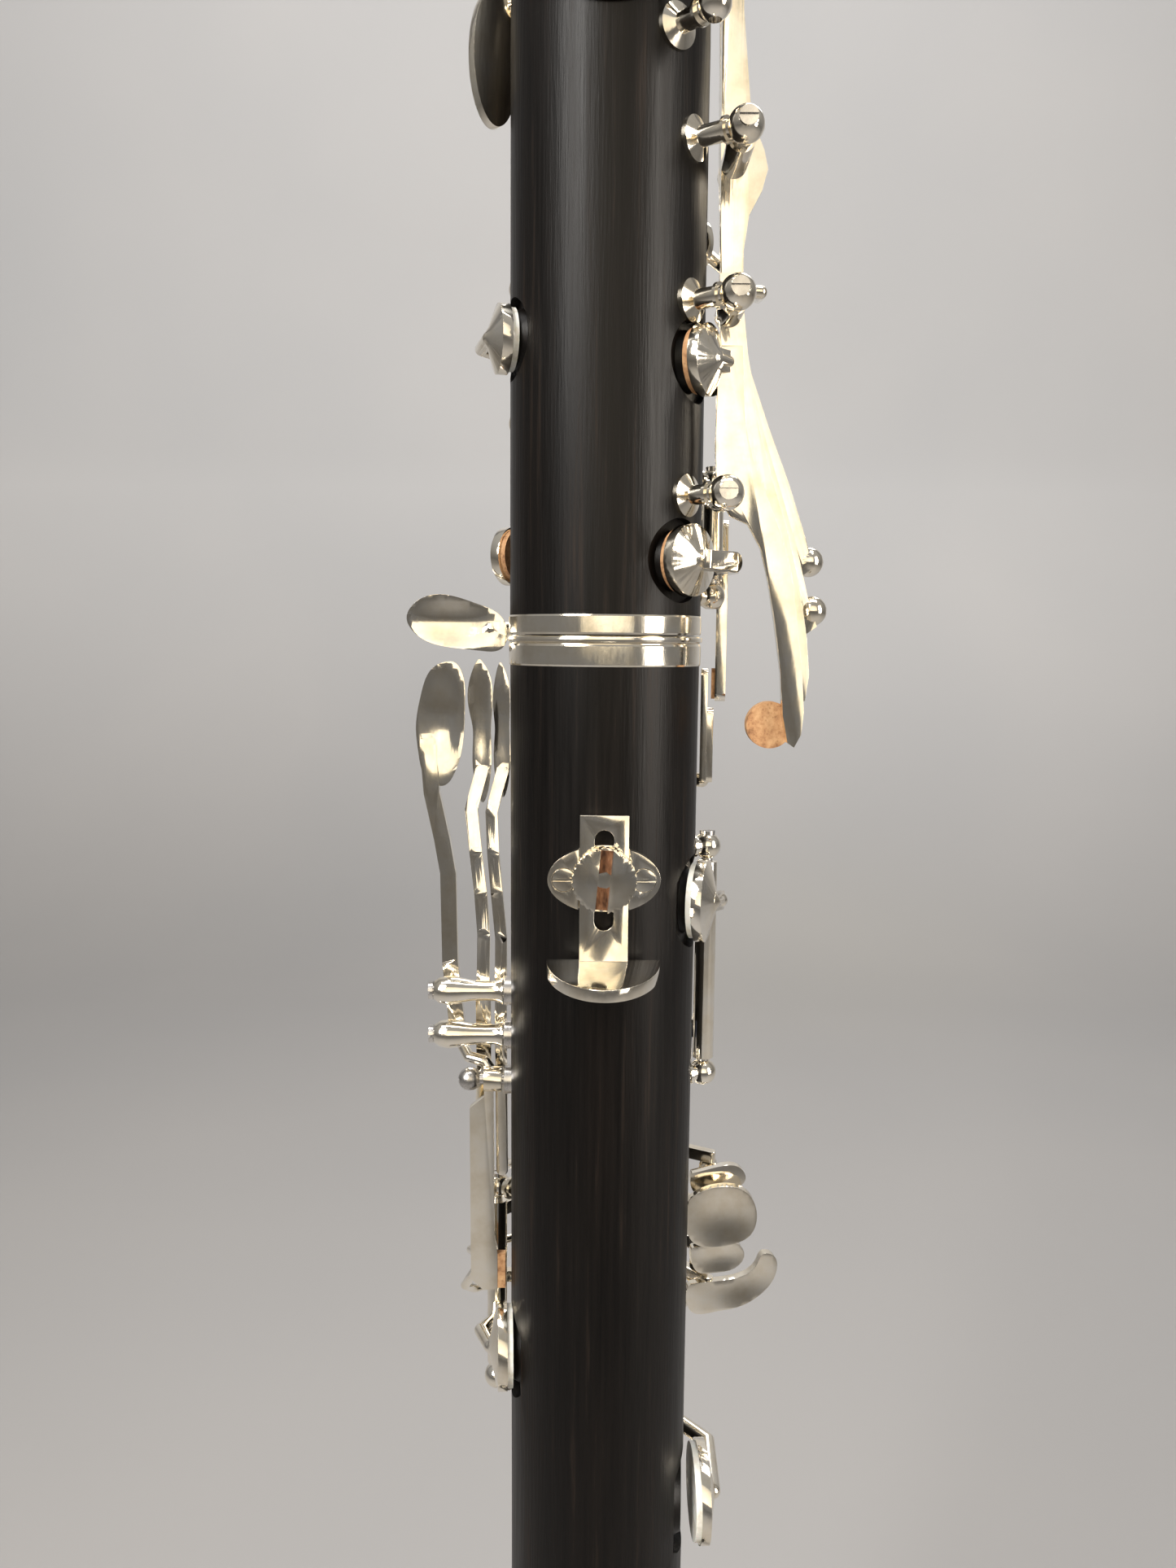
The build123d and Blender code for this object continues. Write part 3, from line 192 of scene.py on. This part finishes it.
def blued():
    return silver("blued_wire", 0.25, 0.40, (0.10, 0.12, 0.20), (0.05, 0.05, 0.08))


def cork():
    """Natural cork: pale body with brown grains and small dark pits."""
    mat, nodes, links = new_material("natural_cork")
    shader = principled(nodes)
    coords = object_coords(nodes, links, (1.0, 1.0, 1.0))
    cells = nodes.new("ShaderNodeTexVoronoi")
    cells.inputs["Scale"].default_value = 1500.0
    links.new(coords, cells.inputs["Vector"])
    grain = noise(nodes, links, coords, 700.0, 6.0, 0.7)
    body = ramp(nodes, links, grain, [(0.30, (0.16, 0.065, 0.025)), (0.46, (0.42, 0.22, 0.10)),
                                      (0.70, (0.60, 0.37, 0.19))])
    specks = ramp(nodes, links, cells.outputs["Distance"],
                  [(0.0, (0.55, 0.45, 0.38)), (0.35, (1.0, 1.0, 1.0))])
    links.new(mix_colour(nodes, links, 0.8, body, specks, "MULTIPLY"), shader.inputs["Base Color"])
    links.new(spread(nodes, links, grain, 0.72, 0.92), shader.inputs["Roughness"])
    bump(nodes, links, grain, 0.5, 0.0002, shader)
    return mat


def pad_skin():
    """White goldbeater's skin over felt, a little yellowed in places."""
    mat, nodes, links = new_material("white_pad_skin")
    shader = principled(nodes)
    coords = object_coords(nodes, links, (1.0, 1.0, 1.0))
    mottle = noise(nodes, links, coords, 420.0, 5.0)
    ridges = noise(nodes, links, object_coords(nodes, links, (1.0, 1.0, 6.0)), 500.0, 3.0)
    links.new(ramp(nodes, links, mottle, [(0.30, (0.62, 0.58, 0.48)), (0.50, (0.80, 0.79, 0.74)),
                                          (0.75, (0.86, 0.87, 0.88))]), shader.inputs["Base Color"])
    links.new(spread(nodes, links, mottle, 0.42, 0.62), shader.inputs["Roughness"])
    bump(nodes, links, ridges, 0.35, 0.00015, shader)
    shader.inputs["Subsurface Weight"].default_value = 0.06
    shader.inputs["Subsurface Scale"].default_value = 0.001
    return mat


def ebonite():
    mat, nodes, links = new_material("polished_ebonite")
    shader = principled(nodes)
    wear = noise(nodes, links, object_coords(nodes, links, (1.0, 1.0, 1.0)), 240.0, 5.0)
    links.new(ramp(nodes, links, wear, [(0.35, (0.008, 0.008, 0.009)), (0.75, (0.022, 0.021, 0.020))]),
              shader.inputs["Base Color"])
    links.new(spread(nodes, links, wear, 0.12, 0.28), shader.inputs["Roughness"])
    bump(nodes, links, wear, 0.05, 0.0001, shader)
    return mat


def cane():
    mat, nodes, links = new_material("reed_cane")
    shader = principled(nodes)
    fibre = noise(nodes, links, object_coords(nodes, links, (1.0, 1.0, 0.02)), 1800.0, 4.0)
    links.new(ramp(nodes, links, fibre, [(0.30, (0.42, 0.28, 0.12)), (0.52, (0.70, 0.54, 0.28)),
                                         (0.75, (0.82, 0.68, 0.40))]), shader.inputs["Base Color"])
    links.new(spread(nodes, links, fibre, 0.45, 0.65), shader.inputs["Roughness"])
    bump(nodes, links, fibre, 0.3, 0.0001, shader)
    return mat


def slot_shade_paint():
    """Painted shade for the screw slot: dark brown with paler streaks."""
    mat, nodes, links = new_material("slot_painted_shade")
    shader = principled(nodes)
    shader.inputs["Metallic"].default_value = 0.6
    streaks = noise(nodes, links, object_coords(nodes, links, (1.0, 1.0, 0.4)), 900.0, 4.0)
    # painted shade: the dark brown colours of the slot's fill
    links.new(ramp(nodes, links, streaks, [(0.35, (0.05, 0.022, 0.012)), (0.55, (0.22, 0.10, 0.05)),
                                           (0.75, (0.45, 0.27, 0.16))]), shader.inputs["Base Color"])
    links.new(spread(nodes, links, streaks, 0.35, 0.6), shader.inputs["Roughness"])
    return mat


def backdrop_grey():
    """Painted sweep: pale wall, with painted shade that makes it a little darker and warmer down to the
    floor.
    """
    mat, nodes, links = new_material("pale_backdrop")
    shader = principled(nodes)
    coords = object_coords(nodes, links, (1.0, 1.0, 1.0))
    cloud = noise(nodes, links, coords, 2.0, 2.0)
    paint = ramp(nodes, links, cloud, [(0.3, (0.70, 0.70, 0.71)), (0.7, (0.76, 0.75, 0.75))])
    height = nodes.new("ShaderNodeSeparateXYZ")
    links.new(coords, height.inputs["Vector"])
    # painted shade: the colour drops to under half its brightness over the lowest 0.55 m, towards the
    # floor
    painted_floor_shade = ramp(nodes, links, height.outputs["Z"], [(0.0, (0.46, 0.45, 0.44)), (0.55, (1.0, 1.0, 1.0))])
    links.new(mix_colour(nodes, links, 1.0, paint, painted_floor_shade, "MULTIPLY"), shader.inputs["Base Color"])
    shader.inputs["Roughness"].default_value = 0.9
    return mat


MATERIALS = {
    "grenadilla": grenadilla(),
    "silver_keys": silver("silver_key_plate", 0.07, 0.16),
    "silver_rings": silver("silver_ring_plate", 0.08, 0.18),
    "steel": steel(),
    "blued_steel": blued(),
    "cork": cork(),
    "pad_skin": pad_skin(),
    "hard_rubber": ebonite(),
    "cane": cane(),
}
SLOT_OF = {entry["node"]: entry["material_slot"] for entry in frame["record"]["subparts"]}


def dress_cad_nodes():
    """Every carried-over node gets its finish."""
    for node, obj in frame["nodes"].items():
        material = MATERIALS[SLOT_OF[node]]
        for place in obj.material_slots:
            place.material = material


# ------------------------------------------------------------------ finished pieces

ROUNDED = {
    "side_key_1": 0.30, "side_key_2": 0.30, "side_key_3": 0.30, "side_key_4": 0.30, "c_sharp_key": 0.28,
    "left_sliver_key": 0.25, "left_e_lever": 0.28, "left_f_lever": 0.25, "left_f_sharp_lever": 0.25,
    "a_flat_key": 0.25, "f_key": 0.25, "e_key": 0.25, "f_sharp_key": 0.25, "right_sliver_key": 0.25,
    "right_ring_key": 0.25, "left_ring_key": 0.25, "thumb_ring_key": 0.25, "throat_a_key": 0.25,
    "throat_g_key": 0.28, "register_key": 0.25, "thumb_rest_hook": 0.28, "thumb_rest_plate": 0.16,
    "thumb_rest_screw": 0.12,
}
BODIES = frame["record"]["behaviour"]["bodies"]
BODY_OF = {node: body for body, nodes in BODIES.items() for node in nodes}

# faces worked hollow: centre x, y, height above the joint line, half width, half height and depth, in
# millimetres; a negative depth is a crown
HOLLOWS = {
    "c_sharp_key": (-24.5, 8.3, 2.6, 8.0, 4.8, 1.1),
    "left_e_lever": (-25.8, 6.3, -13.0, 4.4, 10.0, 0.9),
    "left_f_lever": (-19.4, 6.3, -13.0, 2.0, 10.0, 0.6),
    "left_f_sharp_lever": (-16.2, 6.7, -14.0, 1.8, 9.5, 0.5),
    "a_flat_key": (21.5, 9.1, -97.2, 6.2, 6.2, 0.8),
    "e_key": (25.6, 13.9, -111.6, 7.0, 5.6, 0.7),
    "f_key": (21.3, 12.9, -106.6, 5.0, 3.4, 0.5),
    "thumb_rest_screw": (0.0, -18.4, SCREW_H, 4.7, 4.7, -0.35),
}
def hollow(work, x, y, h, half_x, half_h, depth):
    """Cuts a flat face into a grid and presses its middle along +Y, away from the thumb side."""
    centre = Vector((x * MM, y * MM, JOINT + h * MM))

    def near(vert):
        gap = vert.co - centre
        beside = abs(gap.x) < (half_x + SLICE) * MM and abs(gap.z) < (half_h + SLICE) * MM
        return beside and abs(gap.y) < REACH * MM

    for axis, half in ((0, half_x), (2, half_h)):
        normal = Vector((0, 0, 0))
        normal[axis] = 1.0
        steps = int(2 * half / SLICE)
        for i in range(steps + 1):
            place = centre + normal * (i * SLICE - half) * MM
            faces = [face for face in work.faces if any(near(vert) for vert in face.verts)]
            edges = list({edge for face in faces for edge in face.edges})
            verts = list({vert for face in faces for vert in face.verts})
            bmesh.ops.bisect_plane(work, geom=verts + edges + faces, plane_co=place, plane_no=normal,
                                   dist=WELD)
    for vert in work.verts:
        gap = vert.co - centre
        share = 1.0 - (gap.x / (half_x * MM)) ** 2 - (gap.z / (half_h * MM)) ** 2
        if share > 0 and abs(gap.y) < REACH * MM:
            vert.co.y += depth * MM * share * share


def rounded_copy(node, width_mm):
    """The same piece with its edges broken, as a polisher leaves them."""
    source = frame["nodes"][node]
    mesh = source.data.copy()
    piece = bpy.data.objects.new(node + "_polished", mesh)
    bpy.context.scene.collection.objects.link(piece)
    work = bmesh.new()
    work.from_mesh(mesh)
    bmesh.ops.remove_doubles(work, verts=work.verts, dist=WELD)
    bmesh.ops.dissolve_limit(work, angle_limit=math.radians(1.0), verts=work.verts, edges=work.edges)
    if node in HOLLOWS:
        hollow(work, *HOLLOWS[node])
    work.to_mesh(mesh)
    work.free()
    edge = piece.modifiers.new("edge", "BEVEL")
    edge.width = width_mm * MM
    edge.segments = 3
    edge.limit_method = "ANGLE"
    edge.angle_limit = math.radians(EDGE_ANGLE)
    edge.use_clamp_overlap = True
    edge.harden_normals = True
    mesh.polygons.foreach_set("use_smooth", [True] * len(mesh.polygons))
    mesh.materials.clear()
    mesh.materials.append(MATERIALS[SLOT_OF[node]])
    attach(piece, BODY_OF[node])
    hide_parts(node)
    return piece


def slot_painted_shade():
    """Painted shade: a dark brown fill in the bottom of the thumb screw's slot, so the slot shows as a
    dark line.
    """
    mesh = bpy.data.meshes.new("thumb_screw_slot_painted_shade")
    work = bmesh.new()
    bmesh.ops.create_cube(work, size=1.0)
    bmesh.ops.scale(work, vec=Vector(SLOT_FILL) * MM, verts=work.verts)
    bmesh.ops.rotate(work, matrix=Matrix.Rotation(math.radians(SLOT_LEAN), 3, "Y"), verts=work.verts)
    work.to_mesh(mesh)
    work.free()
    piece = bpy.data.objects.new("thumb_screw_slot_painted_shade", mesh)
    bpy.context.scene.collection.objects.link(piece)
    piece.location = Vector((0.0, SLOT_FLOOR_Y * MM, JOINT + SCREW_H * MM))
    mesh.materials.append(slot_shade_paint())
    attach(piece, "thumb_rest_screw")


def finish_keys():
    for node, width in ROUNDED.items():
        rounded_copy(node, width)
    # painted shade in the thumb screw's slot
    slot_painted_shade()


# ------------------------------------------------------------------ studio

def area_light(name, place, target, size, size_y, watts, colour, spread_deg=180.0):
    data = bpy.data.lights.new(name, "AREA")
    data.shape = "RECTANGLE"
    data.size = size
    data.size_y = size_y
    data.energy = watts
    data.color = colour
    data.spread = math.radians(spread_deg)
    light = bpy.data.objects.new(name, data)
    bpy.context.scene.collection.objects.link(light)
    light.location = place
    light.rotation_euler = (Vector(target) - Vector(place)).to_track_quat("-Z", "Y").to_euler()
    return light


def warm_patch():
    """Spot that leaves a faint cream stain on the sweep, to the right behind the object."""
    data = bpy.data.lights.new("warm_patch", "SPOT")
    data.energy = 16.0
    data.color = (1.0, 0.86, 0.46)
    data.spot_size = math.radians(16.0)
    data.spot_blend = 1.0
    data.shadow_soft_size = 0.1
    light = bpy.data.objects.new("warm_patch", data)
    bpy.context.scene.collection.objects.link(light)
    light.location = (-0.40, 0.30, 1.90)
    aim = Vector((0.17, 1.00, 0.10)) - light.location
    light.rotation_euler = aim.to_track_quat("-Z", "Y").to_euler()


def backdrop():
    """Floor that sweeps up into a wall behind the object."""
    mesh = bpy.data.meshes.new("sweep")
    rows = []
    for step in range(SWEEP_STEPS + 1):
        a = math.radians(90.0 * step / SWEEP_STEPS)
        rows.append((SWEEP_START + SWEEP_RADIUS * math.sin(a), SWEEP_RADIUS - SWEEP_RADIUS * math.cos(a)))
    rows = [(SWEEP_FRONT, 0.0)] + rows + [(SWEEP_START + SWEEP_RADIUS, WALL_TOP)]
    verts = []
    for y, z in rows:
        verts += [(side * SWEEP_HALF_WIDTH, y, z - SWEEP_DROP) for side in (-1, 1)]
    faces = [(2 * i, 2 * i + 1, 2 * i + 3, 2 * i + 2) for i in range(len(rows) - 1)]
    mesh.from_pydata(verts, [], faces)
    mesh.polygons.foreach_set("use_smooth", [True] * len(mesh.polygons))
    floor = bpy.data.objects.new("studio_sweep", mesh)
    bpy.context.scene.collection.objects.link(floor)
    mesh.materials.append(backdrop_grey())


def room():
    """Soft surroundings, darker towards the floor."""
    world = bpy.data.worlds.new("room")
    world.use_nodes = True
    nodes, links = world.node_tree.nodes, world.node_tree.links
    coords = nodes.new("ShaderNodeTexCoord")
    height = nodes.new("ShaderNodeSeparateXYZ")
    links.new(coords.outputs["Generated"], height.inputs["Vector"])
    shade = ramp(nodes, links, spread(nodes, links, height.outputs["Z"], 0.0, 1.0, -0.6, 0.8),
                 [(0.0, (0.10, 0.10, 0.11)), (0.45, (0.30, 0.29, 0.28)), (1.0, (0.62, 0.60, 0.57))])
    links.new(shade, nodes["Background"].inputs["Color"])
    nodes["Background"].inputs["Strength"].default_value = 0.6
    return world


def studio():
    backdrop()
    target = (0.0, 0.0, JOINT)
    area_light("key_left", (-0.65, -0.75, 0.95), target, 0.5, 0.8, 2.6, (1.0, 0.97, 0.93), 60.0)
    area_light("fill_right", (0.75, -0.45, 0.50), target, 0.35, 0.8, 1.4, (1.0, 0.93, 0.84), 60.0)
    area_light("warm_reflector", (0.05, -1.25, 0.86), (0.05, 0.0, 0.80), 1.5, 1.0, 2.4,
               (1.0, 0.87, 0.64), 100.0)
    area_light("rim_back", (0.30, 0.80, 1.30), target, 0.6, 0.5, 3.0, (0.96, 0.98, 1.0))
    area_light("wall_wash", (0.0, -0.1, 2.1), (0.0, 1.3, 0.5), 1.6, 0.8, 19.0, (1.0, 0.99, 0.98), 150.0)
    warm_patch()
    bpy.context.scene.world = room()
    bpy.context.scene.view_settings.view_transform = "Standard"


def camera():
    data = bpy.data.cameras.new("camera")
    data.sensor_fit = "VERTICAL"
    data.sensor_height = SENSOR
    data.sensor_width = SENSOR
    data.lens = FOCAL
    data.clip_start = 0.01
    cam = bpy.data.objects.new("camera", data)
    bpy.context.scene.collection.objects.link(cam)
    cam.location = (-CAMERA_LEFT, -CAMERA_BACK, JOINT)
    cam.rotation_mode = "XYZ"
    cam.rotation_euler = (math.radians(90.0 - CAMERA_PITCH), 0.0, 0.0)
    cam.rotation_euler.rotate_axis("Z", math.radians(CAMERA_ROLL))
    bpy.context.scene.camera = cam


dress_cad_nodes()
finish_keys()
studio()
camera()
